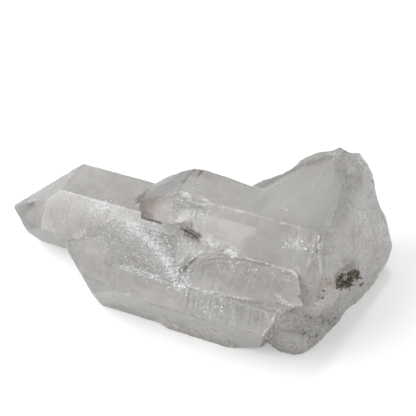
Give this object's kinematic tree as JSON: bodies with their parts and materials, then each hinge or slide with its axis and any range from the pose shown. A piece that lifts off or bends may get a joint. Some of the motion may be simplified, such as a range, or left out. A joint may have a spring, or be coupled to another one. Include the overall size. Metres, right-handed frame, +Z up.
{
  "type": "quartz crystal cluster",
  "caption": "Hand specimen of clear quartz: flattened crystal points grown side by side out of a broken base, with etched faces and a dirty pocket. It rests on a flat face.",
  "frame": {"origin": "under the middle of the specimen, on the table", "axes": "+X along the crystals from their tips to the broken base, +Z up, -Y to the front"},
  "size_m": [0.1024, 0.061, 0.0364],
  "materials": {
    "quartz": "clear to cloudy, with glossy growth faces, etched faces and broken ends"
  },
  "bodies": {
    "root": {"quartz_cluster": "quartz"}
  },
  "joints": []
}
